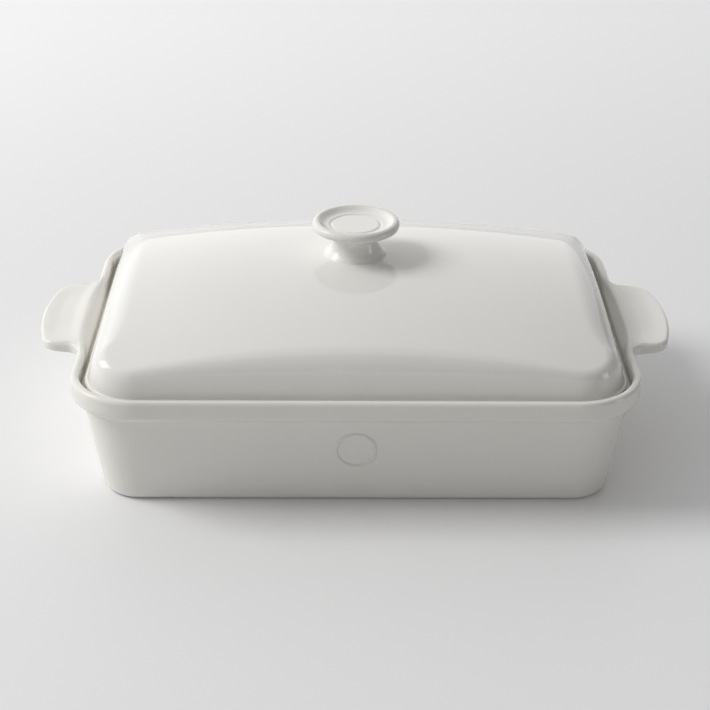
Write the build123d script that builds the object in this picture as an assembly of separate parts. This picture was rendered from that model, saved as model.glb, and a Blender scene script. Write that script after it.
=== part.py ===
from build123d import *
import math
import os

os.makedirs("parts", exist_ok=True)

# A covered lasagna dish of glazed ceramic, in millimetres.
# The origin is on the table, under the middle of the dish. +X runs along its length, +Z is up.

# Dish, seen from above
rim_length = 358.0
rim_width = 261.0
rim_corner_radius = 44.0

# Dish, heights
dish_height = 79.4
collar_height = 12.4
collar_slope_height = 4.0
foot_height = 1.4

# Dish, walls
rim_thickness = 5.8
collar_end_overhang = 7.0
collar_side_overhang = 8.6
collar_edge_rounding = 5.0
wall_lean_degrees = 9.4
wall_thickness = 7.5
floor_thickness = 7.0
ledge_depth = 9.4
rim_rounding = 2.7
base_rounding = 5.0
floor_rounding = 12.0
foot_ring_width = 11.0

# The inside of the collar leans out beside each handle, most at the top
swell_depth = 5.6
swell_length = 124.0

# Handles
handle_reach = 30.4
handle_width = 99.0
handle_tip_width = 90.0
handle_tip_radius = 145.0
handle_corner_radius = 13.0
handle_root_radius = 10.0
handle_thickness = 6.2
handle_root_thickness = 8.0
handle_hollow = 0.8
handle_edge_rounding = 2.6
handle_root_depth = 3.0

# Lid
lid_clearance = 3.0
lid_flange_height = 5.4
lid_flange_step = 1.6
lid_flange_rounding = 1.3
lid_lean_degrees = 13.5
lid_wall_rise = 9.0
lid_crown_rise = 13.7
lid_cross_rise = 24.9
lid_shoulder_radius = 18.0
lid_thickness = 6.4
lid_inner_shoulder_radius = 12.0
seat_depth = 2.0

# Knob, radii and heights above the crown of the lid
knob_foot_radius = 22.0
knob_foot_edge = 0.2
knob_ankle_radius = 18.6
knob_ankle_height = 2.2
knob_shoulder_radius = 15.2
knob_shoulder_height = 7.2
knob_neck_radius = 13.8
knob_neck_height = 12.4
knob_cap_radius = 28.7
knob_cap_height = 23.6
knob_lip_thickness = 6.4
knob_top_hollow = 3.2
knob_lip_width = 7.0
knob_round_radius = 15.0
knob_round_step = 0.8

# Cuts run past what they cut by this much
overrun = 20.0


def rounded_block(length, width, radius, low, high):
    outline = Plane.XY.offset(low) * RectangleRounded(length, width, radius)
    return extrude(outline, amount=high - low)


def leaning_block(length, width, radius, low, high, lean_degrees):
    # The low outline is given, and the walls lean outwards going up.
    spread = (high - low) * math.tan(math.radians(lean_degrees))
    low_outline = Plane.XY.offset(low) * RectangleRounded(length, width, radius)
    high_outline = Plane.XY.offset(high) * RectangleRounded(
        length + 2 * spread, width + 2 * spread, radius + spread
    )
    return loft([low_outline, high_outline], ruled=True)


# Heights and outlines that follow from the sizes above
collar_low = dish_height - collar_height
slope_low = collar_low - collar_slope_height
ledge_height = dish_height - ledge_depth
wall_lean = math.tan(math.radians(wall_lean_degrees))
wall_top_length = rim_length - 2 * collar_end_overhang
wall_top_width = rim_width - 2 * collar_side_overhang
wall_top_radius = rim_corner_radius - collar_side_overhang
wall_inset = slope_low * wall_lean
base_length = wall_top_length - 2 * wall_inset
base_width = wall_top_width - 2 * wall_inset
base_radius = wall_top_radius - wall_inset
recess_length = rim_length - 2 * rim_thickness
recess_width = rim_width - 2 * rim_thickness
recess_radius = rim_corner_radius - rim_thickness
floor_margin = wall_inset + wall_thickness - floor_thickness * wall_lean
cavity_length = wall_top_length - 2 * floor_margin
cavity_width = wall_top_width - 2 * floor_margin
cavity_radius = wall_top_radius - floor_margin


def dish_shell():
    walls = leaning_block(base_length, base_width, base_radius, 0, slope_low, wall_lean_degrees)
    walls = fillet(walls.faces().sort_by(Axis.Z)[0].edges(), base_rounding)
    low_outline = Plane.XY.offset(slope_low) * RectangleRounded(
        wall_top_length, wall_top_width, wall_top_radius
    )
    high_outline = Plane.XY.offset(collar_low) * RectangleRounded(
        rim_length, rim_width, rim_corner_radius
    )
    slope = loft([low_outline, high_outline], ruled=True)
    collar = rounded_block(rim_length, rim_width, rim_corner_radius, collar_low, dish_height)
    band = slope + collar
    turn_edges = [
        e
        for e in band.edges()
        if abs(e.bounding_box().min.Z - collar_low) < foot_height / 2
        and abs(e.bounding_box().max.Z - collar_low) < foot_height / 2
    ]
    band = fillet(turn_edges, collar_edge_rounding)
    shell = walls + band
    recess = rounded_block(
        recess_length, recess_width, recess_radius, ledge_height, dish_height + overrun
    )
    # The ledge is the top of the wall, between the hollow and the wider recess for the lid.
    cavity = leaning_block(
        cavity_length,
        cavity_width,
        cavity_radius,
        floor_thickness,
        ledge_height,
        wall_lean_degrees,
    )
    cavity = fillet(cavity.faces().sort_by(Axis.Z)[0].edges(), floor_rounding)
    shell = shell - recess - cavity
    rim_edges = shell.faces().sort_by(Axis.Z)[-1].edges()
    shell = fillet(rim_edges, rim_rounding)
    # The underside stands on a raised ring, and is hollow inside it.
    ring_inset = 2 * (base_rounding + foot_ring_width)
    hollow = rounded_block(
        base_length - ring_inset, base_width - ring_inset, base_radius / 2, -overrun, foot_height
    )
    return shell - hollow


def swell(side):
    # An arc in plan that meets the straight wall at the ledge and moves outwards going up.
    wall_x = side * recess_length / 2
    half = swell_length / 2
    levels = []
    for height in (0, ledge_depth + overrun):
        shift = side * swell_depth * (height / ledge_depth - 1)
        inner_x = wall_x + shift - side * rim_thickness
        arc = ThreePointArc(
            (wall_x + shift, -half), (wall_x + shift + side * swell_depth, 0), (wall_x + shift, half)
        )
        sides = Polyline(
            (wall_x + shift, half), (inner_x, half), (inner_x, -half), (wall_x + shift, -half)
        )
        levels.append(Plane.XY.offset(ledge_height + height) * make_face([arc, sides]))
    return loft(levels, ruled=True)


def handle_tab():
    # The tab on the +X end, before the swell is cut from its root.
    root_x = rim_length / 2 - handle_root_depth
    wall_x = rim_length / 2
    tip_x = wall_x + handle_reach
    half_root = handle_width / 2
    half_tip = handle_tip_width / 2
    tongue = Polygon(
        (root_x, -half_root),
        (tip_x, -half_tip),
        (tip_x, half_tip),
        (root_x, half_root),
        align=None,
    )
    tongue &= Pos(tip_x - handle_tip_radius, 0) * Circle(handle_tip_radius)
    strip_length = handle_width + 2 * handle_root_radius
    strip = Pos(root_x + handle_root_depth / 2, 0) * Rectangle(handle_root_depth, strip_length)
    tip_corners = tongue.vertices().sort_by(Axis.X)[-2:]
    tongue = fillet(tip_corners, handle_corner_radius)
    outline = tongue + strip
    roots = [
        v
        for v in outline.vertices()
        if abs(v.X - wall_x) < handle_root_depth / 4 and abs(v.Y) < half_root + handle_root_radius / 2
    ]
    outline = fillet(roots, handle_root_radius - handle_root_depth / 4)
    prism = extrude(Plane.XY * outline, amount=dish_height + overrun)
    # Side view: hollowed along the top, thicker towards the wall underneath.
    middle_x = (root_x + tip_x) / 2
    low_tip = dish_height - handle_thickness
    low_root = dish_height - handle_root_thickness
    top = ThreePointArc(
        (root_x, dish_height), (middle_x, dish_height - handle_hollow), (tip_x, dish_height)
    )
    end = Line((tip_x, dish_height), (tip_x, low_tip))
    under = ThreePointArc(
        (tip_x, low_tip), (middle_x, low_tip - handle_hollow / 2), (root_x, low_root)
    )
    back = Line((root_x, low_root), (root_x, dish_height))
    side_view = Plane.XZ * make_face([top, end, under, back])
    slab = extrude(side_view, amount=half_root + overrun, both=True)
    tab = prism & slab
    rim_faces = [f for f in tab.faces() if abs(f.normal_at().Z) > 0.9]
    edges = [
        e
        for f in rim_faces
        for e in f.edges()
        if e.center().X > root_x + handle_root_depth / 2
    ]
    return fillet(edges, handle_edge_rounding)


def dome(length, width, radius, low, top, crown, cross, shoulder):
    # Leaning walls under a top that is arched along the length and more strongly across it.
    height = top - low + lid_thickness
    spread = height * math.tan(math.radians(lid_lean_degrees))
    low_outline = Plane.XY.offset(low) * RectangleRounded(length, width, radius)
    high_outline = Plane.XY.offset(low + height) * RectangleRounded(
        length - 2 * spread, width - 2 * spread, radius - spread
    )
    walls = loft([low_outline, high_outline], ruled=True)
    half = length / 2 + overrun
    end_top = top - crown + math.sqrt(crown**2 - half**2)
    arc = ThreePointArc((-half, end_top), (0, top), (half, end_top))
    box = Polyline((half, end_top), (half, low - overrun), (-half, low - overrun), (-half, end_top))
    side_view = Plane.XZ * make_face([arc, box])
    turn = math.degrees(2 * math.asin((width / 2 + overrun) / cross))
    axis = Axis((0, 0, top - cross), (1, 0, 0))
    arched = revolve(side_view.rotate(axis, -turn / 2), axis, turn)
    body = walls & arched
    top_face = body.faces().sort_by(Axis.Z)[-1]
    return fillet(top_face.edges(), shoulder)


lid_length = recess_length - 2 * lid_clearance
lid_width = recess_width - 2 * lid_clearance
lid_radius = recess_radius - lid_clearance
flange_top = ledge_height + lid_flange_height
lid_top_height = flange_top + lid_wall_rise + lid_crown_rise + lid_cross_rise
lid_crown_radius = ((lid_length / 2) ** 2 + lid_crown_rise**2) / (2 * lid_crown_rise)
lid_cross_radius = ((lid_width / 2) ** 2 + lid_cross_rise**2) / (2 * lid_cross_rise)


def lid_outside():
    flange = rounded_block(lid_length, lid_width, lid_radius, ledge_height, flange_top)
    flange = fillet(flange.faces().sort_by(Axis.Z)[-1].edges(), lid_flange_rounding)
    cover = dome(
        lid_length - 2 * lid_flange_step,
        lid_width - 2 * lid_flange_step,
        lid_radius - lid_flange_step,
        flange_top - lid_flange_rounding,
        lid_top_height,
        lid_crown_radius,
        lid_cross_radius,
        lid_shoulder_radius,
    )
    return flange + cover


def lid_inside():
    inset = 2 * (lid_flange_step + lid_thickness)
    throat = rounded_block(
        lid_length - inset,
        lid_width - inset,
        lid_radius - inset / 2,
        ledge_height - overrun,
        flange_top,
    )
    hollow = dome(
        lid_length - inset,
        lid_width - inset,
        lid_radius - inset / 2,
        flange_top,
        lid_top_height - lid_thickness,
        lid_crown_radius - lid_thickness,
        lid_cross_radius - lid_thickness,
        lid_inner_shoulder_radius,
    )
    return throat + hollow


def lid_knob():
    crown = lid_top_height
    seat = crown - seat_depth
    cap_top = crown + knob_cap_height
    lip = knob_lip_thickness / 2
    neck_height = crown + knob_neck_height
    hollow_height = cap_top - knob_top_hollow
    start = Line((0, seat), (knob_foot_radius, seat))
    edge = Line((knob_foot_radius, seat), (knob_foot_radius, crown + knob_foot_edge))
    flare = Spline(
        (knob_foot_radius, crown + knob_foot_edge),
        (knob_ankle_radius, crown + knob_ankle_height),
        (knob_shoulder_radius, crown + knob_shoulder_height),
        (knob_neck_radius, neck_height),
        tangents=[(-1, 0.2), (-0.1, 1)],
    )
    under = Spline(
        (knob_neck_radius, neck_height),
        (knob_cap_radius - lip, cap_top - knob_lip_thickness),
        tangents=[(0.0, 1.0), (1.0, 0.12)],
    )
    rounding = ThreePointArc(
        (knob_cap_radius - lip, cap_top - knob_lip_thickness),
        (knob_cap_radius, cap_top - lip),
        (knob_cap_radius - lip, cap_top),
    )
    inside = Spline(
        (knob_cap_radius - lip, cap_top),
        (knob_cap_radius - knob_lip_width, hollow_height),
        (knob_round_radius, hollow_height - knob_round_step / 2),
        tangents=[(-1, 0), (-1, -0.05)],
    )
    step = Line(
        (knob_round_radius, hollow_height - knob_round_step / 2),
        (knob_round_radius - knob_round_step, hollow_height - knob_round_step),
    )
    floor = Line(
        (knob_round_radius - knob_round_step, hollow_height - knob_round_step),
        (0, hollow_height - knob_round_step),
    )
    axis_line = Line((0, hollow_height - knob_round_step), (0, seat))
    half_section = Plane.XZ * make_face(
        [start, edge, flare, under, rounding, inside, step, floor, axis_line]
    )
    return revolve(half_section, Axis.Z, 360)


def only_solid(shape):
    # The one solid of a shape, largest first if a cut has left more.
    return shape.solids().sort_by(SortBy.VOLUME)[-1]


tab_right = handle_tab()
tab_left = tab_right.mirror(Plane.YZ)
swells = swell(1) + swell(-1)
recess_space = rounded_block(
    recess_length, recess_width, recess_radius, ledge_height, dish_height + overrun
)
hollow_space = recess_space + swells

dish_body = dish_shell() - hollow_space - tab_right - tab_left
handle_right = tab_right - hollow_space
handle_left = tab_left - hollow_space

knob = lid_knob()
lid_seat = Cylinder(
    knob_foot_radius, overrun, align=(Align.CENTER, Align.CENTER, Align.MIN)
)
lid_seat = Pos(0, 0, lid_top_height - seat_depth) * lid_seat
lid_shell = lid_outside() - lid_inside() - lid_seat

pieces = {
    "dish_body": dish_body,
    "handle_right": handle_right,
    "handle_left": handle_left,
    "lid_shell": lid_shell,
    "lid_knob": knob,
}
for name, piece in pieces.items():
    solids = piece.solids()
    box = piece.bounding_box()
    print(name, len(solids), round(piece.volume), [round(v, 2) for v in (*box.min, *box.max)])
    export_step(only_solid(piece), f"parts/{name}.step")
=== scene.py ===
import math
import bpy
import numpy as np
from mathutils import Matrix, Vector


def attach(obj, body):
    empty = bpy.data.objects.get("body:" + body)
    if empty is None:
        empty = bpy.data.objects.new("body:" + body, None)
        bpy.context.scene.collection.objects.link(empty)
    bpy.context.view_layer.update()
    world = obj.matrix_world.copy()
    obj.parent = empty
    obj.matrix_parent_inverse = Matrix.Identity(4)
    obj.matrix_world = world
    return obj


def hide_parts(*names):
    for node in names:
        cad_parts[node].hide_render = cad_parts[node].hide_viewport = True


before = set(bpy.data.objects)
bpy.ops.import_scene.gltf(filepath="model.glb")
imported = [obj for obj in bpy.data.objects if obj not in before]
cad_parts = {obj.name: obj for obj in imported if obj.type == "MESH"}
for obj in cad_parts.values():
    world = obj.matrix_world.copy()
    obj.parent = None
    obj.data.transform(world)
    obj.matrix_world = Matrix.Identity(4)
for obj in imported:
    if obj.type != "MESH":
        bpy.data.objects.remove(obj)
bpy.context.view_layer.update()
mm = 0.001  # sizes are in millimetres, and each mesh is scaled by this
tiny = 1e-9  # keeps a division from failing where a length is zero
scene = bpy.context.scene


# Outlines seen from above. A row is (x, y, nx, ny), and (nx, ny) points outwards.
def arcPoints(centre, radius, start, end, count):
    # centre + radius * (cos a, sin a)
    a = np.linspace(start, end, count)
    n = np.stack([np.cos(a), np.sin(a)], 1)
    return np.hstack([np.asarray(centre) + radius * n, n])


def straightPoints(start, end, normal, count):
    # (1 - t) * start + t * end
    t = np.linspace(0, 1, count)[:, None]
    p = (1 - t) * np.asarray(start) + t * np.asarray(end)
    return np.hstack([p, np.tile(normal, (count, 1))])


def joinRuns(runs):
    # End to end, with each shared point kept once
    return np.vstack([runs[0]] + [run[1:] for run in runs[1:]])


def mirrorQuarter(quarter):
    # The quarter from +X round to +Y, mirrored in both axes, with each shared end row kept once
    flipX = quarter[::-1] * [-1, 1, -1, 1]
    half = np.vstack([quarter, flipX[1:]])
    flipY = half[::-1] * [1, -1, 1, -1]
    return np.vstack([half, flipY[1:-1]])


# Side profiles. A profile is a list of rings, and a ring has one point for each station of the
# outline.
def softCorners(points, radii, steps, mostOfRun=0.48, nearlyStraight=0.99999):
    # Straight runs with an arc at each corner. The arc starts radius / tan(inner angle / 2) back along
    # the run, or near the middle of a run that is too short for that.
    rows = [points[0]]
    for before, here, after, radius in zip(points, points[1:], points[2:], radii):
        back, ahead = before - here, after - here
        lenBack = np.linalg.norm(back, axis=1, keepdims=True)
        lenAhead = np.linalg.norm(ahead, axis=1, keepdims=True)
        u = back / np.maximum(lenBack, tiny)
        v = ahead / np.maximum(lenAhead, tiny)
        cosIn = np.clip((u * v).sum(1, keepdims=True), -nearlyStraight, nearlyStraight)
        halfIn = np.arccos(cosIn) / 2
        reach = np.minimum(radius / np.tan(halfIn), mostOfRun * np.minimum(lenBack, lenAhead))
        bisector = u + v
        bisector = bisector / np.maximum(np.linalg.norm(bisector, axis=1, keepdims=True), tiny)
        centre = here + bisector * reach / np.cos(halfIn)
        first, last = here + u * reach - centre, here + v * reach - centre
        turn = math.pi - 2 * halfIn
        for t in np.linspace(0, 1, steps):
            blend = np.sin((1 - t) * turn) * first + np.sin(t * turn) * last
            rows.append(centre + blend / np.sin(turn))
    rows.append(points[-1])
    return rows


def fillRuns(rows, longest):
    # Adds rings on the long runs, evenly, so that no step is longer than that.
    out = [rows[0]]
    for a, b in zip(rows[:-1], rows[1:]):
        count = max(1, math.ceil(np.linalg.norm(b - a, axis=1).max() / longest))
        out += [a + (b - a) * t for t in np.arange(1, count + 1) / count]
    return out


def smooth(t):
    # 0 below 0, 1 above 1, and an S between
    t = np.clip(t, 0, 1)
    return t * t * (3 - 2 * t)


# Meshes
def ringNormals(rings):
    # The cross product of the step to the next station and the step to the next ring
    around = np.roll(rings, -1, 1) - np.roll(rings, 1, 1)
    along = np.gradient(rings, axis=0)
    n = np.cross(around, along)
    return n / np.maximum(np.linalg.norm(n, axis=2, keepdims=True), tiny)


# Curvatures, per mm, at which the glaze starts to thin or pool, and over how much more it gets there
glazeFlow = dict(thinFrom=0.12, thinOver=0.35, pooledFrom=0.10, pooledOver=0.45, leastStep=1e-4)


def glazeMasks(rings, normals, g=glazeFlow):
    # Curvature is the turn of the normal over the step, dn . dp / dp . dp, along the rings and round
    # them. Glaze runs thin on tight outer edges and pools in tight hollows.
    dp = [np.gradient(rings, axis=0), (np.roll(rings, -1, 1) - np.roll(rings, 1, 1)) / 2]
    dn = [np.gradient(normals, axis=0), (np.roll(normals, -1, 1) - np.roll(normals, 1, 1)) / 2]
    bend = [(n * p).sum(2) / np.maximum((p * p).sum(2), g["leastStep"]) for n, p in zip(dn, dp)]
    thin = smooth((np.maximum(*bend) - g["thinFrom"]) / g["thinOver"])
    pooled = smooth((-np.minimum(*bend) - g["pooledFrom"]) / g["pooledOver"])
    return np.stack([thin, pooled], -1)


def buildMesh(name, verts, faces, normals, masks, node, body):
    # faces is a list of arrays of quads or triangles, and masks has a thin and a pooled column. node
    # is None for a piece that stands for no CAD node.
    loops = np.concatenate([f.ravel() for f in faces]).astype(np.int32)
    sizes = np.concatenate([np.full(len(f), f.shape[1]) for f in faces])
    starts = np.concatenate([[0], np.cumsum(sizes)[:-1]]).astype(np.int32)
    mesh = bpy.data.meshes.new(name)
    mesh.vertices.add(len(verts))
    mesh.vertices.foreach_set("co", (verts * mm).astype(np.float32).ravel())
    mesh.loops.add(len(loops))
    mesh.loops.foreach_set("vertex_index", loops)
    mesh.polygons.add(len(sizes))
    mesh.polygons.foreach_set("loop_start", starts)
    mesh.update(calc_edges=True)
    mesh.shade_smooth()
    mesh.normals_split_custom_set_from_vertices(normals.astype(np.float32))
    for k, mask in enumerate(("thinGlaze", "pooledGlaze")):
        layer = mesh.attributes.new(mask, "FLOAT", "POINT")
        layer.data.foreach_set("value", masks[:, k].astype(np.float32))
    piece = bpy.data.objects.new(name, mesh)
    scene.collection.objects.link(piece)
    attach(piece, body)
    if node:
        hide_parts(node)
    print("built", name, len(verts), "points")
    return piece


def gridQuads(index):
    # The quads between neighbouring rows and columns of an array of vertex numbers
    corners = [index[:-1, :-1], index[:-1, 1:], index[1:, 1:], index[1:, :-1]]
    return np.stack(corners, -1).reshape(-1, 4)


def closedGrid(name, rings, normals, masks, low, high, node, body):
    # A closed skin: rings joined by quads, with a fan to a pole at each end
    count, around = rings.shape[:2]
    verts = np.vstack([rings.reshape(-1, 3), [low], [high]])
    masks = np.vstack([masks.reshape(-1, 2), np.zeros((2, 2))])
    ends = np.sign([normals[0, :, 2].sum(), normals[-1, :, 2].sum()])
    normals = np.vstack([normals.reshape(-1, 3), [[0, 0, ends[0]]], [[0, 0, ends[1]]]])
    index = np.arange(count * around).reshape(count, around)
    index = np.hstack([index, index[:, :1]])  # each ring ends at the station where it starts
    pole = np.full(around, count * around)
    fanLow = np.stack([pole, index[0, 1:], index[0, :-1]], 1)
    fanHigh = np.stack([pole + 1, index[-1, :-1], index[-1, 1:]], 1)
    faces = [gridQuads(index), fanLow, fanHigh]
    return buildMesh(name, verts, faces, normals, masks, node, body)


# Dish, with the tab handles
dish = dict(
    halfLength=179.0, halfWidth=130.5, corner=44.0, height=79.4,
    rimThickness=5.8, rimRounding=2.7,
    collarHeight=12.4, collarSlope=4.0, overhang=8.6, endOverhang=7.0,
    collarRounding=5.0, underCollarRounding=5.0,
    leanDegrees=9.4, wall=7.5, floor=7.0, floorRounding=12.0,
    ledgeDepth=9.4, ledgeEdgeRounding=2.0, recessRounding=1.4,
    baseRounding=5.0, footRing=11.0, footHeight=1.4,
    footSlope=0.4, footRounding=0.6, hollowRounding=0.5,
    swell=5.6, swellHalf=66.0,
    # Where straight runs are given a point, and how finely the skin is cut
    floorRun=16.0, recessRun=3.0, wallRun=30.0, hollowRun=7.0,
    floorStep=8.0, recessStep=1.6, wallStep=4.0, floorArc=9, rimArc=9, topRings=15, outerArc=8,
    endStations=12, cornerStations=26, sideStations=18,
    closing=(0.97, 0.88, 0.72, 0.52, 0.3, 0.12),  # shares of the last ring, towards each middle
)
tab = dict(
    reach=30.4, halfRoot=49.5, halfTip=45.0, tipRadius=145.0, corner=13.0, rootRadius=10.0,
    thickness=6.2, rootThickness=8.0, rounding=2.6, rootDepth=3.0, underRounding=3.0,
    # The hollow on top: its depth, the share of it that is left at the edge, its half width, and the
    # shares of the way out over which it starts and ends. blend is the reach that makes a full tab.
    hollow=1.0, edgeShare=0.35, hollowHalf=22.0, hollowStart=0.3, hollowEnd=0.4, blend=6.0,
    tipStations=26, cornerStations=14, sideStations=9, rootStations=16,
)
slack = 1e-6  # what a point may miss a limit by and still lie on it


def tabOutline(d, t):
    # Tip arc, corner arc, straight side and hollow root arc, then the dish's own end wall, corner and
    # long side
    tipX = d["halfLength"] + t["reach"]
    sideStart = np.array([d["halfLength"] - t["rootDepth"], t["halfRoot"]])
    side = np.array([tipX, t["halfTip"]]) - sideStart
    side /= np.linalg.norm(side)
    normal = np.array([-side[1], side[0]])
    toSide = math.atan2(normal[1], normal[0])
    tipCentre = np.array([tipX - t["tipRadius"], 0.0])
    spare = t["tipRadius"] - t["corner"]
    turn = toSide - math.acos((normal @ (sideStart - tipCentre) - t["corner"]) / spare)
    cornerCentre = tipCentre + spare * np.array([math.cos(turn), math.sin(turn)])
    rootX = d["halfLength"] + t["rootRadius"]
    rootY = (normal @ sideStart + t["rootRadius"] - normal[0] * rootX) / normal[1]
    tip = arcPoints(tipCentre, t["tipRadius"], 0, turn, t["tipStations"])
    bend = arcPoints(cornerCentre, t["corner"], turn, toSide, t["cornerStations"])
    root = arcPoints((rootX, rootY), -t["rootRadius"], toSide, 0, t["rootStations"])
    run = straightPoints(bend[-1, :2], root[0, :2], normal, t["sideStations"])
    endX, sideY = d["halfLength"], d["halfWidth"]
    straightX, straightY = endX - d["corner"], sideY - d["corner"]
    wall = straightPoints((endX, rootY), (endX, straightY), (1, 0), d["endStations"])
    corner = arcPoints((straightX, straightY), d["corner"], 0, math.pi / 2, d["cornerStations"])
    back = straightPoints((straightX, sideY), (0, sideY), (0, 1), d["sideStations"])
    tabRuns = [tip, bend, run, root]
    return joinRuns(tabRuns + [wall, corner, back]), len(joinRuns(tabRuns))


def dishRings(d, t):
    # All rings from the middle of the floor over the rim and down to the middle of the foot
    quarter, tabCount = tabOutline(d, t)
    outline = mirrorQuarter(quarter)
    edge, edgeNormal = outline[:, :2], outline[:, 2:4]
    alongEnd = np.abs(edge[:, 1]) <= d["halfWidth"] - d["corner"] + slack
    onEnd = alongEnd & (np.abs(edge[:, 0]) >= d["halfLength"] - slack)
    collar, collarNormal = edge.copy(), edgeNormal.copy()
    collar[onEnd, 0] = np.sign(edge[onEnd, 0]) * d["halfLength"]
    collarNormal[onEnd] = np.stack([np.sign(edge[onEnd, 0]), np.zeros(onEnd.sum())], 1)
    centres = collar - collarNormal * d["corner"]

    def inset(dist, height):
        # The outline moved in by dist: corner centre + (corner - dist) * normal
        p = centres + (d["corner"] - dist) * collarNormal
        return np.hstack([p, np.full((len(p), 1), float(height))])

    lean = math.tan(math.radians(d["leanDegrees"]))
    top = d["height"]
    ledge = top - d["ledgeDepth"]
    collarLow = top - d["collarHeight"]
    slopeLow = collarLow - d["collarSlope"]

    def wallInset(height):
        # How far in from the collar the leaning wall stands at a height
        return d["overhang"] + (slopeLow - height) * lean

    def wallPoint(dist, height):
        # As inset, with the ends moved out by what the collar overhangs them less than the sides, and
        # the sides stretched to follow
        p = inset(dist, height)
        span = d["halfLength"] - d["corner"]
        p[:, 0] += (d["overhang"] - d["endOverhang"]) * np.clip(centres[:, 0] / span, -1, 1)
        return p

    # Floor, inside of the wall, ledge and foot of the recess
    floorInset = wallInset(d["floor"]) + d["wall"]
    rows = softCorners(
        [
            wallPoint(floorInset + d["floorRun"], d["floor"]),
            wallPoint(floorInset, d["floor"]),
            wallPoint(wallInset(ledge) + d["wall"], ledge),
            inset(d["rimThickness"], ledge),
            inset(d["rimThickness"], ledge + d["recessRun"]),
        ],
        [d["floorRounding"], d["ledgeEdgeRounding"], d["recessRounding"]],
        d["floorArc"],
    )
    rows = fillRuns(rows, d["floorStep"])
    # The wall of the recess leans out beside the tabs, most in the middle and at the top.
    lump = smooth(1 - (centres[:, 1:2] / d["swellHalf"]) ** 2) * onEnd[:, None]

    def recess(dist, height):
        # As inset, moved out by swell * lump * height above the ledge / depth of the ledge
        p = inset(dist, height)
        p[:, :2] += collarNormal * d["swell"] * lump * (height - ledge) / d["ledgeDepth"]
        return p

    rim = d["rimRounding"]
    rows += fillRuns([rows.pop(), recess(d["rimThickness"], top - rim)], d["recessStep"])
    for a in np.linspace(0, math.pi / 2, d["rimArc"])[1:]:
        dist = d["rimThickness"] - rim * (1 - math.cos(a))
        rows.append(recess(dist, top - rim * (1 - math.sin(a))))
    crest = len(rows) - 1
    # Across the top to the outer rounding. The tab's top is a shallow hollow inside a low bead.
    reach = np.abs(edge[:, :1] - collar[:, :1])
    isTab = smooth(reach / t["blend"])
    rounding = rim + (t["rounding"] - rim) * isTab
    inner = edge - edgeNormal * rounding
    midTab = 1 - smooth((np.abs(edge[:, 1:]) - t["hollowHalf"]) / t["hollowHalf"])
    start = rows[-1]
    for s in np.linspace(0, 1, d["topRings"])[1:]:
        xy = (1 - s) * start[:, :2] + s * inner
        inSide = midTab * (1 - smooth((s - 1 + t["hollowEnd"]) / t["hollowEnd"]))
        dip = smooth(s / t["hollowStart"]) * (t["edgeShare"] + (1 - t["edgeShare"]) * inSide)
        rows.append(np.hstack([xy, top - t["hollow"] * isTab * dip]))
    edgeTop = rows[-1][:, 2:]
    for a in np.linspace(0, math.pi / 2, d["rimArc"])[1:]:
        xy = inner + edgeNormal * rounding * math.sin(a)
        rows.append(np.hstack([xy, edgeTop - rounding * (1 - math.cos(a))]))
    # Down the side and under the tab to the collar, then down the collar and the wall
    lowZ = top - t["thickness"] - t["edgeShare"] * t["hollow"]
    outer = softCorners(
        [
            rows.pop(),
            np.hstack([edge, np.full((len(edge), 1), lowZ)]),
            inset(0, top - t["rootThickness"]),
            inset(0, collarLow),
            wallPoint(d["overhang"], slopeLow),
            wallPoint(wallInset(slopeLow - d["wallRun"]), slopeLow - d["wallRun"]),
        ],
        [t["rounding"], t["underRounding"], d["collarRounding"], d["underCollarRounding"]],
        d["outerArc"],
    )
    toTab = 1 + 2 * d["outerArc"]  # rings as far as where the tab's underside has met the collar
    rows += outer[:toTab]
    tabEnd = len(rows)
    rows += fillRuns(outer[toTab - 1:], d["wallStep"])[1:]
    # The wall, the rounded base, the foot ring and the hollow inside it
    baseInset = wallInset(0)
    ringIn = baseInset + d["baseRounding"] + d["footRing"]
    base = softCorners(
        [
            rows.pop(),
            wallPoint(baseInset, 0),
            wallPoint(ringIn, 0),
            wallPoint(ringIn + d["footSlope"], d["footHeight"]),
            wallPoint(ringIn + d["hollowRun"], d["footHeight"]),
        ],
        [d["baseRounding"], d["footRounding"], d["hollowRounding"]],
        d["outerArc"],
    )
    rows += fillRuns(base, d["floorStep"])
    shares = d["closing"]
    inside = [rows[0] * [f, f, 1] for f in reversed(shares)]
    below = [rows[-1] * [f, f, 1] for f in shares]
    rings = np.array(inside + rows + below)
    return rings, crest + len(shares), tabEnd + len(shares), tabCount


full, crestRow, tabRow, tabCount = dishRings(dish, tab)
fullNormals = ringNormals(full)
fullMasks = glazeMasks(full, fullNormals)
around = full.shape[1]


def tabColumns(middle):
    # The stations of the tab whose tip is at this station
    return np.arange(middle - tabCount + 1, middle + tabCount) % around


def hiddenSheet(columns):
    # Behind a tab, straight from its first ring to its last: the face that body and tab share
    skin = full[crestRow:tabRow][:, columns]
    share = np.linspace(0, 1, len(skin))[:, None, None]
    sheet = skin[:1] * (1 - share) + skin[-1:] * share
    sheet[:, [0, -1]] = skin[:, [0, -1]]
    return skin, sheet


bodyRings = full.copy()
for middle in (0, around // 2):
    bodyRings[crestRow:tabRow, tabColumns(middle)] = hiddenSheet(tabColumns(middle))[1]
dishBody = closedGrid(
    "dish_body_glazed", bodyRings, fullNormals, fullMasks,
    (0, 0, dish["floor"]), (0, 0, dish["footHeight"]), "dish_body", "dish",
)


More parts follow.
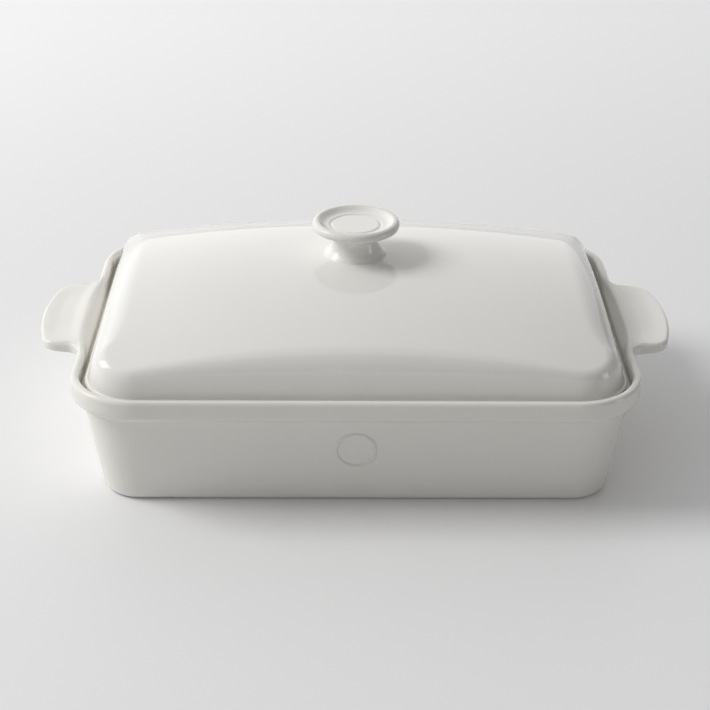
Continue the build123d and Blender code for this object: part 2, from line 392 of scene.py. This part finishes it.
def tabPiece(name, middle, node):
    # The tab's share of the dish's skin, closed by the hidden sheet, which shares its border
    skin, sheet = hiddenSheet(tabColumns(middle))
    normals = fullNormals[crestRow:tabRow][:, tabColumns(middle)]
    count, wide = skin.shape[:2]
    own = np.arange(count * wide).reshape(count, wide)
    back = own.copy()
    back[1:-1, 1:-1] = count * wide + np.arange((count - 2) * (wide - 2)).reshape(count - 2, -1)
    verts = np.vstack([skin.reshape(-1, 3), sheet[1:-1, 1:-1].reshape(-1, 3)])
    masks = fullMasks[crestRow:tabRow][:, tabColumns(middle)]
    masks = np.vstack([masks.reshape(-1, 2), 0 * masks[1:-1, 1:-1].reshape(-1, 2)])
    normals = np.vstack([normals.reshape(-1, 3), -normals[1:-1, 1:-1].reshape(-1, 3)])
    faces = [gridQuads(own), gridQuads(back.T)]
    return buildMesh(name, verts, faces, normals, masks, node, "dish")


handleRight = tabPiece("handle_right_glazed", 0, "handle_right")
handleLeft = tabPiece("handle_left_glazed", around // 2, "handle_left")

# A plain round line in low relief on the middle of the front wall
frontRing = dict(
    radius=12.3, height=40.3, halfWidth=1.05, rise=0.8, sunk=0.6, sunkHalf=0.6, rings=17, stations=144,
)


def ringRelief(d, m):
    # Wall point + (radius + s * half width) along the wall + rise * (1 + cos(pi s)) / 2 out of it, for
    # s from -1 to 1, closed behind by two rings sunk in the wall
    lean = math.radians(d["leanDegrees"])
    slopeLow = d["height"] - d["collarHeight"] - d["collarSlope"]
    y = d["halfWidth"] - d["overhang"] - (slopeLow - m["height"]) * math.tan(lean)
    across, upWall = np.array([1.0, 0, 0]), np.array([0, -math.sin(lean), math.cos(lean)])
    out = np.array([0, -math.cos(lean), -math.sin(lean)])
    s = np.concatenate([np.linspace(-1, 1, m["rings"]), [m["sunkHalf"], -m["sunkHalf"]]])
    lift = m["rise"] * (1 + np.cos(math.pi * s)) / 2
    lift[-2:] = -m["sunk"]
    turn = np.linspace(0, 2 * math.pi, m["stations"], endpoint=False)
    spoke = np.cos(turn)[:, None] * across + np.sin(turn)[:, None] * upWall
    radius = m["radius"] + s * m["halfWidth"]
    return spoke * radius[:, None, None] + out * lift[:, None, None] + [0, -y, m["height"]]


relief = ringRelief(dish, frontRing)
reliefNormals = -ringNormals(np.concatenate([relief[-1:], relief, relief[:1]]))[1:-1]
reliefIndex = np.arange(relief.shape[0] * relief.shape[1]).reshape(relief.shape[:2])
reliefIndex = np.pad(reliefIndex, ((0, 1), (0, 1)), "wrap")
frontRelief = buildMesh(
    "front_ring_glazed", relief.reshape(-1, 3), [gridQuads(reliefIndex.T)],
    reliefNormals.reshape(-1, 3), np.zeros((relief[..., 0].size, 2)), None, "dish",
)
print("dish done:", full.shape)

# Lid and its knob
lid = dict(
    halfLength=170.2, halfWidth=121.7, corner=35.2, low=70.0,
    flange=5.4, flangeRounding=1.3, step=1.6, stepRounding=1.0, footRounding=1.0, insideRounding=1.2,
    leanDegrees=13.5, top=123.0, crownRise=13.7, crossRise=24.9,
    cornerShoulder=10.5, fullShoulder=25.5, fullWall=27.0,
    thickness=6.4, innerShoulderLess=5.0, hiddenDrop=1.0,
    # How finely the skin is cut, and how far in from the corner's middle the shoulder's rings end
    endStations=24, cornerStations=34, sideStations=60, footArc=8, footStep=2.0, cornerKept=4.0,
    outerArc=48, outerWall=6, innerArc=14, innerWall=3,
    ease=(0.12, 0.3, 0.5, 0.75, 1.0), easeBend=0.6,  # from the shoulder to where its rings end
    undersides=(0.06, 0.16, 0.3, 0.46, 0.62, 0.78, 0.9),  # shares of the innermost ring
    closing=(0.08, 0.18, 0.29, 0.4, 0.51, 0.62, 0.72, 0.81, 0.88, 0.93, 0.965, 0.985, 1.0),
    hidden=(18.0, 10.0, 4.0),  # radii of the rings under the knob
)
# A pair is a radius and a height above the lid. The handles shape the curves between the named
# points.
knob = dict(
    foot=22.0, ankle=(18.6, 2.2), waist=(15.2, 7.2), neck=(13.8, 12.4), cap=28.7, high=23.6,
    lip=6.4, hollow=3.2, roundRadius=16.4, grooveWidth=1.8, grooveDepth=0.6, seat=2.0,
    flareHandles=((-2.6, 0.0), (1.6, -1.3)), bellHandles=((-1.9, 1.6), (1.0, -2.0)),
    stemHandles=((-1.1, 2.2), (0.0, -1.8)), underHandles=((0.0, 3.6), (-7.7, -0.7)),
    dipHandles=((-2.2, 0.0), (4.3, 0.0)), discRadii=(12.6, 9.0, 4.0),
    flareSteps=14, bellSteps=12, stemSteps=8, underSteps=16, lipSteps=20, dipSteps=16, grooveSteps=11,
    followFrom=14.0, followBelow=8.0, belowFirst=8.0, belowInset=4.0,
)


def crownHeight(shell, xy, drop=0.0):
    # The top, less what a circle's arc falls along the length and another's across it
    rx = (shell["halfLength"] ** 2 + shell["crownRise"] ** 2) / (2 * shell["crownRise"])
    ry = (shell["halfWidth"] ** 2 + shell["crossRise"] ** 2) / (2 * shell["crossRise"])
    x, y = xy[:, :1], xy[:, 1:2]
    return shell["top"] - drop - (rx - np.sqrt(rx * rx - x * x)) - (ry - np.sqrt(ry * ry - y * y))


def lidRings(shell, k):
    # All rings from the middle of the underside over the rim and up to the knob's foot
    endX, sideY = shell["halfLength"], shell["halfWidth"]
    straightX, straightY = endX - shell["corner"], sideY - shell["corner"]
    outline = mirrorQuarter(joinRuns([
        straightPoints((endX, 0), (endX, straightY), (1, 0), shell["endStations"]),
        arcPoints((straightX, straightY), shell["corner"], 0, math.pi / 2, shell["cornerStations"]),
        straightPoints((straightX, sideY), (0, sideY), (0, 1), shell["sideStations"]),
    ]))
    normal = outline[:, 2:4]
    centres = outline[:, :2] - normal * shell["corner"]
    flangeTop = shell["low"] + shell["flange"]
    lean = math.tan(math.radians(shell["leanDegrees"]))
    limit = shell["corner"] - shell["cornerKept"]
    bend = shell["easeBend"]

    def inset(dist, height):
        # The outline moved in by dist: corner centre + (corner - dist) * normal
        p = centres + (shell["corner"] - dist) * normal
        return np.hstack([p, np.broadcast_to(height, (len(p), 1)).astype(float)])

    def onCrown(dist, drop):
        # As inset, at the height of the arched top less drop
        p = inset(dist, 0)
        p[:, 2:] = crownHeight(shell, p, drop)
        return p

    def shoulderRings(start, low, drop, radius, arcSteps, wallSteps, guess=20.0, tries=40, probe=0.5):
        # A circle that touches the leaning wall and the arched top, found by stepping its touching
        # point on the top until its middle is a radius from the wall. The wall starts at (start, low).
        tilt = math.radians(shell["leanDegrees"])
        touch = np.full((len(normal), 1), start + guess)
        for _ in range(tries):
            rise = (onCrown(touch + probe, drop) - onCrown(touch - probe, drop))[:, 2:]
            slope = np.arctan(rise / (2 * probe))
            middle = touch + radius * np.sin(slope)
            height = onCrown(touch, drop)[:, 2:] - radius * np.cos(slope)
            touch += radius - ((middle - start) * math.cos(tilt) - (height - low) * math.sin(tilt))
        out = []
        firstRise = height + radius * math.sin(tilt) - low
        for s in np.linspace(0, 1, wallSteps, endpoint=False):
            out.append(inset(start + s * firstRise * lean, low + s * firstRise))
        for s in np.linspace(0, 1, arcSteps):
            turn = tilt + s * (math.pi / 2 - slope - tilt)
            out.append(inset(middle - radius * np.cos(turn), height + radius * np.sin(turn)))
        for s in shell["ease"]:
            out.append(onCrown(touch + (limit - touch) * s * (1 + bend - bend * s), drop))
        return out

    # The shoulder is wide where the wall is tall, mid-side, and small at the corners.
    tall = onCrown(0, 0)[:, 2:] - flangeTop
    wide = smooth((tall - tall.min()) / (shell["fullWall"] - tall.min()))
    shoulder = shell["cornerShoulder"] + (shell["fullShoulder"] - shell["cornerShoulder"]) * wide
    # Inside, from the middle out to the shoulder and down to the rim of the lid
    wallIn = shell["step"] + shell["thickness"]
    innerShoulder = shoulder - shell["innerShoulderLess"]
    inner = shoulderRings(
        wallIn, flangeTop, shell["thickness"], innerShoulder, shell["innerArc"], shell["innerWall"],
    )[::-1]
    rows = []
    for f in shell["undersides"]:
        p = inner[0] * [f, f, 1]
        p[:, 2:] = crownHeight(shell, p, shell["thickness"])
        rows.append(p)
    rows += inner
    # The rim of the lid: a foot that stands on the ledge, and a small step outside
    domeLow = flangeTop - shell["flangeRounding"]
    outer = shoulderRings(
        shell["step"], domeLow, 0.0, shoulder, shell["outerArc"], shell["outerWall"],
    )
    foot = softCorners(
        [
            rows.pop(),
            inset(wallIn, shell["low"]),
            inset(0, shell["low"]),
            inset(0, flangeTop),
            inset(shell["step"] + (flangeTop - domeLow) * lean, flangeTop),
            outer[2],
        ],
        [shell[key + "Rounding"] for key in ("inside", "foot", "flange", "step")],
        shell["footArc"],
    )
    rows += fillRuns(foot, shell["footStep"]) + outer[3:]
    # The top closes in to the knob's foot along straight lines towards the middle.
    last = rows[-1][:, :2]
    reach = np.linalg.norm(last, axis=1, keepdims=True)
    rays = last / reach
    for f in shell["closing"]:
        xy = rays * (reach * (1 - f) + k["foot"] * f)
        rows.append(np.hstack([xy, crownHeight(shell, xy)]))
    return rows, rays


def knobProfile(k):
    # Radius and height above the crown, from the foot up to the middle of the cap
    def curve(start, end, handles, count):
        # (1-t)^3 start + 3 (1-t)^2 t (start + handle) + 3 (1-t) t^2 (end + handle) + t^3 end
        t = np.linspace(0, 1, count)[:, None]
        p0, p3 = np.array(start, float), np.array(end, float)
        p1, p2 = p0 + handles[0], p3 + handles[1]
        outer = (1 - t) ** 3 * p0 + t ** 3 * p3
        return outer + 3 * (1 - t) ** 2 * t * p1 + 3 * (1 - t) * t * t * p2

    lip, high, cap = k["lip"] / 2, k["high"], k["cap"]
    low, floor = high - k["lip"], high - k["hollow"]
    r, w, g = k["roundRadius"], k["grooveWidth"], k["grooveDepth"]
    flare = curve((k["foot"], 0), k["ankle"], k["flareHandles"], k["flareSteps"])
    bell = curve(k["ankle"], k["waist"], k["bellHandles"], k["bellSteps"])
    stem = curve(k["waist"], k["neck"], k["stemHandles"], k["stemSteps"])
    under = curve(k["neck"], (cap - lip, low), k["underHandles"], k["underSteps"])
    a = np.linspace(-math.pi / 2, math.pi / 2, k["lipSteps"])[:, None]
    rounding = np.hstack([cap - lip + lip * np.cos(a), high - lip + lip * np.sin(a)])
    dip = curve((cap - lip, high), (r + w, floor), k["dipHandles"], k["dipSteps"])
    across = np.linspace(1, -1, k["grooveSteps"])[:, None]
    groove = np.hstack([r + across * w, floor - g * (0.5 + 0.5 * np.cos(math.pi * across))])
    disc = np.array([(radius, floor) for radius in k["discRadii"]])
    runs = [flare, bell[1:], stem[1:], under[1:], rounding[1:], dip[1:], groove[1:], disc]
    return np.vstack(runs)


lidRows, rays = lidRings(lid, knob)
profile = knobProfile(knob)
knobRows = []
for r, h in profile:
    # The foot follows the arched top, and the rest is level.
    xy = rays * r
    follow = smooth((r - knob["followFrom"]) / (knob["foot"] - knob["followFrom"]))
    fall = (crownHeight(lid, xy) - lid["top"]) * (follow if h < knob["followBelow"] else 0.0)
    knobRows.append(np.hstack([xy, lid["top"] + h + fall]))
whole = np.array(lidRows + knobRows[1:])
wholeNormals = ringNormals(whole)
wholeMasks = glazeMasks(whole, wholeNormals)
lidCount = len(lidRows)


def withHidden(values, hiddenValue, count, first):
    # The rows of an array, with equal rows for the hidden rings before them or after them
    extra = np.broadcast_to(np.array(hiddenValue, float), (count, *values.shape[1:]))
    return np.vstack([extra, values] if first else [values, extra])


# The shell and the knob each have a hidden face under the knob's foot, which closes them.
shellTop = lid["top"] - lid["hiddenDrop"]
hidden = np.array([
    np.hstack([rays * r, crownHeight(lid, rays * r) - lid["hiddenDrop"]]) for r in lid["hidden"]
])
lidShell = closedGrid(
    "lid_shell_glazed",
    np.vstack([whole[:lidCount], hidden]),
    withHidden(wholeNormals[:lidCount], (0, 0, 1), len(hidden), False),
    withHidden(wholeMasks[:lidCount], (0, 0), len(hidden), False),
    (0, 0, lid["top"] - lid["thickness"]), (0, 0, shellTop),
    "lid_shell", "lid",
)
seat = lid["top"] - knob["seat"]
below = np.array([
    np.hstack([rays * r, np.full((len(rays), 1), seat)])
    for r in (knob["belowFirst"], knob["foot"] - knob["belowInset"])
])
lidKnob = closedGrid(
    "lid_knob_glazed",
    np.vstack([below, whole[lidCount - 1:]]),
    withHidden(wholeNormals[lidCount - 1:], (0, 0, -1), len(below), True),
    withHidden(wholeMasks[lidCount - 1:], (0, 0), len(below), True),
    (0, 0, seat), (0, 0, lid["top"] + profile[-1, 1]),
    "lid_knob", "lid",
)
print("lid done:", whole.shape)


# Glaze
def newNode(tree, kind, inputs=None, **settings):
    # inputs maps a socket's name or number to a value or to another node's output
    node = tree.nodes.new(kind)
    for key, value in settings.items():
        setattr(node, key, value)
    for key, value in (inputs or {}).items():
        if isinstance(value, bpy.types.NodeSocket):
            tree.links.new(value, node.inputs[key])
        else:
            node.inputs[key].default_value = value
    return node


def mathNode(tree, operation, a, b=0.0, c=0.0):
    node = newNode(tree, "ShaderNodeMath", {0: a, 1: b, 2: c}, operation=operation)
    return node.outputs[0]


def ramp(tree, value, low, high, toLow=0.0, toHigh=1.0):
    # An S from toLow at low to toHigh at high
    node = newNode(
        tree, "ShaderNodeMapRange",
        {"Value": value, "From Min": low, "From Max": high, "To Min": toLow, "To Max": toHigh},
        interpolation_type="SMOOTHSTEP",
    )
    return node.outputs["Result"]


def mixColour(tree, share, a, b):
    # (1 - share) * a + share * b
    node = newNode(tree, "ShaderNodeMix", data_type="RGBA")
    tree.links.new(share, node.inputs[0])
    for key, value in ((6, a), (7, b)):
        if isinstance(value, bpy.types.NodeSocket):
            tree.links.new(value, node.inputs[key])
        else:
            node.inputs[key].default_value = value
    return node.outputs[2]


# Noises are (scale per metre, detail, roughness). A pair is where a ramp starts and ends.
poured = dict(
    clouds=(11.0, 2.0, 0.5), mottle=(70.0, 3.0, 0.6), ripples=(55.0, 1.0, 0.5), fine=(900.0, 2.0, 0.5),
    cloudRamp=(0.3, 0.7), mottleRamp=(0.25, 0.65), leastThin=0.55, thinShare=0.75, pooledShare=0.45,
    cells=95.0, holeRamp=(0.02, 0.045), holesFrom=(0.90, 0.92), holeShare=0.35, holeDepth=-0.35,
    mottleRough=0.01, edgeRough=0.05, fineHeight=0.03,
)


def glazeGroup(p):
    # Colour, roughness and height of a poured glaze. Clouds are some 90 mm wide, ripples 18 mm and
    # pinholes 0.5 mm.
    tree = bpy.data.node_groups.new("pouredGlaze", "ShaderNodeTree")
    for side, kind, names in (
        ("INPUT", "NodeSocketColor", ("Glaze", "Thin", "Pooled")),
        ("INPUT", "NodeSocketFloat", ("Clouds", "Sheen")),
        ("OUTPUT", "NodeSocketColor", ("Colour",)),
        ("OUTPUT", "NodeSocketFloat", ("Roughness", "Height")),
    ):
        for name in names:
            tree.interface.new_socket(name=name, in_out=side, socket_type=kind)
    given = tree.nodes.new("NodeGroupInput").outputs
    result = tree.nodes.new("NodeGroupOutput")
    place = tree.nodes.new("ShaderNodeTexCoord").outputs["Object"]

    def noise(key):
        scale, detail, roughness = p[key]
        inputs = {"Vector": place, "Scale": scale, "Detail": detail, "Roughness": roughness}
        return newNode(tree, "ShaderNodeTexNoise", inputs).outputs["Fac"]

    def times(a, b):
        return mathNode(tree, "MULTIPLY", a, b)

    def timesPlus(a, b, c):
        return mathNode(tree, "MULTIPLY_ADD", a, b, c)

    thin = newNode(tree, "ShaderNodeAttribute", attribute_name="thinGlaze").outputs["Fac"]
    pooled = newNode(tree, "ShaderNodeAttribute", attribute_name="pooledGlaze").outputs["Fac"]
    clouds, mottle = noise("clouds"), noise("mottle")
    # Base colour with slow clouds, then the thin edges, broken up a little, and the pools
    shade = times(ramp(tree, clouds, *p["cloudRamp"]), given["Clouds"])
    colour = mixColour(tree, shade, given["Glaze"], given["Pooled"])
    edge = times(thin, ramp(tree, mottle, *p["mottleRamp"], p["leastThin"], 1.0))
    colour = mixColour(tree, times(edge, p["thinShare"]), colour, given["Thin"])
    colour = mixColour(tree, times(pooled, p["pooledShare"]), colour, given["Pooled"])
    # Pinholes: the middles of some Voronoi cells
    cells = newNode(tree, "ShaderNodeTexVoronoi", {"Vector": place, "Scale": p["cells"]}).outputs
    some = newNode(tree, "ShaderNodeSeparateColor", {0: cells["Color"]}).outputs[0]
    hole = ramp(tree, cells["Distance"], *p["holeRamp"], 1.0, 0.0)
    hole = times(hole, ramp(tree, some, *p["holesFrom"]))
    colour = mixColour(tree, times(hole, p["holeShare"]), colour, given["Thin"])
    rough = timesPlus(edge, p["edgeRough"], timesPlus(mottle, p["mottleRough"], given["Sheen"]))
    height = timesPlus(noise("fine"), p["fineHeight"], noise("ripples"))
    height = timesPlus(hole, p["holeDepth"], height)
    for key, value in (("Colour", colour), ("Roughness", rough), ("Height", height)):
        tree.links.new(value, result.inputs[key])
    return tree


def glazeMaterial(name, values, group):
    material = bpy.data.materials.new(name)
    material.use_nodes = True
    tree = material.node_tree
    shader = tree.nodes["Principled BSDF"]
    glaze = newNode(tree, "ShaderNodeGroup", node_tree=group)
    for key in ("Glaze", "Thin", "Pooled"):
        glaze.inputs[key].default_value = (*values[key.lower()], 1)
    glaze.inputs["Clouds"].default_value = values["clouds"]
    glaze.inputs["Sheen"].default_value = values["roughness"]
    colour, rough = glaze.outputs["Colour"], glaze.outputs["Roughness"]
    if "clay" in values:
        # The foot ring, wiped free of glaze: the lowest part of a millimetre, with a wavering line
        place = newNode(tree, "ShaderNodeTexCoord").outputs["Object"]
        height = newNode(tree, "ShaderNodeSeparateXYZ", {0: place}).outputs["Z"]
        scale, detail = values["clayGrain"]
        inputs = {"Vector": place, "Scale": scale, "Detail": detail}
        grain = newNode(tree, "ShaderNodeTexNoise", inputs).outputs["Fac"]
        line = mathNode(tree, "MULTIPLY_ADD", grain, values["clayWaver"] * mm, height)
        bare = ramp(tree, line, *(edge * mm for edge in values["clayEdge"]), 1.0, 0.0)
        clay = mixColour(tree, grain, (*values["clay"], 1), (*values["clayDark"], 1))
        colour = mixColour(tree, bare, colour, clay)
        rough = mathNode(tree, "MULTIPLY_ADD", bare, values["clayRough"], rough)
    inputs = {
        "Height": glaze.outputs["Height"], "Strength": values["ripple"],
        "Distance": values["rippleHeight"] * mm,
    }
    bump = newNode(tree, "ShaderNodeBump", inputs)
    tree.links.new(colour, shader.inputs["Base Color"])
    tree.links.new(rough, shader.inputs["Roughness"])
    tree.links.new(bump.outputs["Normal"], shader.inputs["Normal"])
    shader.inputs["IOR"].default_value = values["ior"]
    return material


# The ripple's height and the clay's edge and waver are in millimetres, and its grain is a scale per
# metre and a detail.
dishGlaze = dict(
    glaze=(0.825, 0.812, 0.768), thin=(0.70, 0.665, 0.60), pooled=(0.79, 0.775, 0.725),
    clouds=0.35, roughness=0.065, ripple=0.12, rippleHeight=0.4, ior=1.52,
    clay=(0.66, 0.58, 0.48), clayDark=(0.50, 0.42, 0.33), clayRough=0.7,
    clayGrain=(420.0, 4.0), clayWaver=0.5, clayEdge=(0.5, 0.8),
)
lidGlaze = dict(
    glaze=(0.84, 0.828, 0.795), thin=(0.72, 0.69, 0.63), pooled=(0.80, 0.787, 0.748),
    clouds=0.3, roughness=0.055, ripple=0.03, rippleHeight=0.4, ior=1.52,
)
pouredGlaze = glazeGroup(poured)
dishMaterial = glazeMaterial("warmWhiteDishGlaze", dishGlaze, pouredGlaze)
lidMaterial = glazeMaterial("warmWhiteLidGlaze", lidGlaze, pouredGlaze)
for piece in (dishBody, handleRight, handleLeft, frontRelief):
    piece.data.materials.append(dishMaterial)
for piece in (lidShell, lidKnob):
    piece.data.materials.append(lidMaterial)
print("glazes done")

# Studio. The floor's tone and glow each go from near to far between two places behind the middle. Both
# are painted light that makes the far floor look paler.
ground = dict(
    half=6.0, near=(0.80, 0.80, 0.80, 1), far=(0.93, 0.93, 0.93, 1), toneFrom=0.1, toneTo=1.2,
    glowNear=0.035, glowFar=0.08, glowFrom=0.0, glowTo=1.5, roughness=0.5,
)
floorMesh = bpy.data.meshes.new("floor")
half = ground["half"]
floorCorners = [(-half, -half, 0), (half, -half, 0), (half, half, 0), (-half, half, 0)]
floorMesh.from_pydata(floorCorners, [], [(0, 1, 2, 3)])
floor = bpy.data.objects.new("floor", floorMesh)
scene.collection.objects.link(floor)
floorMaterial = bpy.data.materials.new("paleFloor")
floorMaterial.use_nodes = True
floorTree = floorMaterial.node_tree
floorShader = floorTree.nodes["Principled BSDF"]
floorPlace = newNode(floorTree, "ShaderNodeTexCoord").outputs["Object"]
floorBack = newNode(floorTree, "ShaderNodeSeparateXYZ", {0: floorPlace}).outputs["Y"]
# Painted light: the floor's colour gets paler towards the back
farShare = ramp(floorTree, floorBack, ground["toneFrom"], ground["toneTo"])
floorPaintedLightTone = mixColour(floorTree, farShare, ground["near"], ground["far"])
floorTree.links.new(floorPaintedLightTone, floorShader.inputs["Base Color"])
floorShader.inputs["Roughness"].default_value = ground["roughness"]
# A painted glow: the floor looks a little paler to the camera and in reflections, and lights nothing
# with that.
rayKinds = newNode(floorTree, "ShaderNodeLightPath").outputs
seen = mathNode(floorTree, "MAXIMUM", rayKinds["Is Camera Ray"], rayKinds["Is Glossy Ray"])
seen = mathNode(floorTree, "MAXIMUM", seen, rayKinds["Is Transmission Ray"])
glow = ramp(
    floorTree, floorBack, ground["glowFrom"], ground["glowTo"], ground["glowNear"], ground["glowFar"]
)
glow = mathNode(floorTree, "MULTIPLY", seen, glow)
floorShader.inputs["Emission Color"].default_value = (1, 1, 1, 1)
floorTree.links.new(glow, floorShader.inputs["Emission Strength"])
floorMesh.materials.append(floorMaterial)


def areaLight(name, place, target, width, height, power, diffuse):
    # A rectangle that faces target. It either lights rough surfaces or only shows in glossy ones.
    data = bpy.data.lights.new(name, "AREA")
    data.shape = "RECTANGLE"
    data.size, data.size_y = width, height
    data.energy = power
    lamp = bpy.data.objects.new(name, data)
    lamp.location = place
    lamp.rotation_euler = (Vector(target) - Vector(place)).to_track_quat("-Z", "Y").to_euler()
    lamp.visible_diffuse, lamp.visible_glossy = diffuse, not diffuse
    scene.collection.objects.link(lamp)


# One large soft light from the left. The others only show as reflections in the glaze: a panel that
# leans over from behind, and windows beside the dish on the left, low and wide in front, and tall and
# narrow on the right. Each has its place, target, width and height in metres, its power in watts and
# whether it lights rough surfaces.
lights = dict(
    windowLight=((-2.6, 0.14, 2.3), (0, 0, 0.05), 1.5, 1.5, 74, True),
    backPanel=((0, 1.966, 2.288), (0, 0.246, -0.172), 6.0, 8.0, 77.8, False),
    nearWindow=((-1.75, 0.28, 1.40), (0, 0, 0.1), 0.7, 1.0, 10, False),
    frontWindow=((0.35, -2.3, 0.45), (0.35, 0, 0.45), 4.2, 0.85, 9, False),
    rightWindow=((2.12, -0.57, 0.55), (0, 0, 0.1), 0.5, 1.0, 4, False),
)
for name, values in lights.items():
    areaLight(name, *values)

# Light from all round: its level low down and high up, a wide lobe from the left, more low down
# behind and in front, and a step to a brighter rear half of the ceiling
room = dict(
    low=0.31, high=0.14, highFrom=0.15, highTo=0.85,
    window=(-0.86, 0.34, 0.38), windowLight=0.36, windowFrom=-0.1, windowTo=1.0,
    back=(-0.4, 0.92, 0), backLight=0.14, backFrom=0.1, backTo=0.9, backLow=0.45, backHigh=0.9,
    front=(0, -1, 0), frontLight=0.04, frontFrom=0.0, frontTo=0.6, frontLow=0.28, frontHigh=0.36,
    overhead=0.10, overheadSide=(0.0, 0.961, 0.276), overheadEdge=0.05,
)
world = bpy.data.worlds.new("studio")
world.use_nodes = True
sky = world.node_tree
way = newNode(sky, "ShaderNodeTexCoord").outputs["Generated"]


def facing(direction):
    # The cosine of the angle between the way looked at and this direction
    node = newNode(sky, "ShaderNodeVectorMath", {0: way, 1: direction}, operation="DOT_PRODUCT")
    return node.outputs["Value"]


def lobe(key):
    # More light towards room[key]
    start, end = room[key + "From"], room[key + "To"]
    return ramp(sky, facing(room[key]), start, end, 0.0, room[key + "Light"])


up = facing((0, 0, 1))
edge = room["overheadEdge"]
parts = [ramp(sky, facing(room["overheadSide"]), -edge, edge, 0.0, room["overhead"]), lobe("window")]
for key in ("back", "front"):
    below = ramp(sky, up, room[key + "Low"], room[key + "High"], 1.0, 0.0)
    parts.append(mathNode(sky, "MULTIPLY", lobe(key), below))
level = ramp(sky, up, room["highFrom"], room["highTo"], room["low"], room["high"])
for part in parts:
    level = mathNode(sky, "ADD", level, part)
sky.nodes["Background"].inputs["Color"].default_value = (1, 1, 1, 1)
sky.links.new(level, sky.nodes["Background"].inputs["Strength"])
scene.world = world
print("studio done")

# Camera, solved from the photograph: place in mm, focal length in pixels of the 710 pixel frame
camera = dict(
    focal=1719.0, frame=710, sensor=36.0,
    pitch=26.5, yaw=-0.551, roll=0.43, place=(-10.04, -1046.3, 569.0),
)
camData = bpy.data.cameras.new("camera")
camData.sensor_width = camera["sensor"]
camData.lens = camera["sensor"] * camera["focal"] / camera["frame"]
cam = bpy.data.objects.new("camera", camData)
cam.location = Vector(camera["place"]) * mm
yaw, pitch, roll = (math.radians(camera[key]) for key in ("yaw", "pitch", "roll"))
level = math.cos(pitch)
forward = Vector((-math.sin(yaw) * level, math.cos(yaw) * level, -math.sin(pitch)))
right = Vector((math.cos(yaw), math.sin(yaw), 0))
basis = Matrix((right, right.cross(forward), -forward)).transposed()
cam.rotation_euler = (basis @ Matrix.Rotation(roll, 3, "Z")).to_euler()
scene.collection.objects.link(cam)
scene.camera = cam
scene.view_settings.view_transform = "Standard"
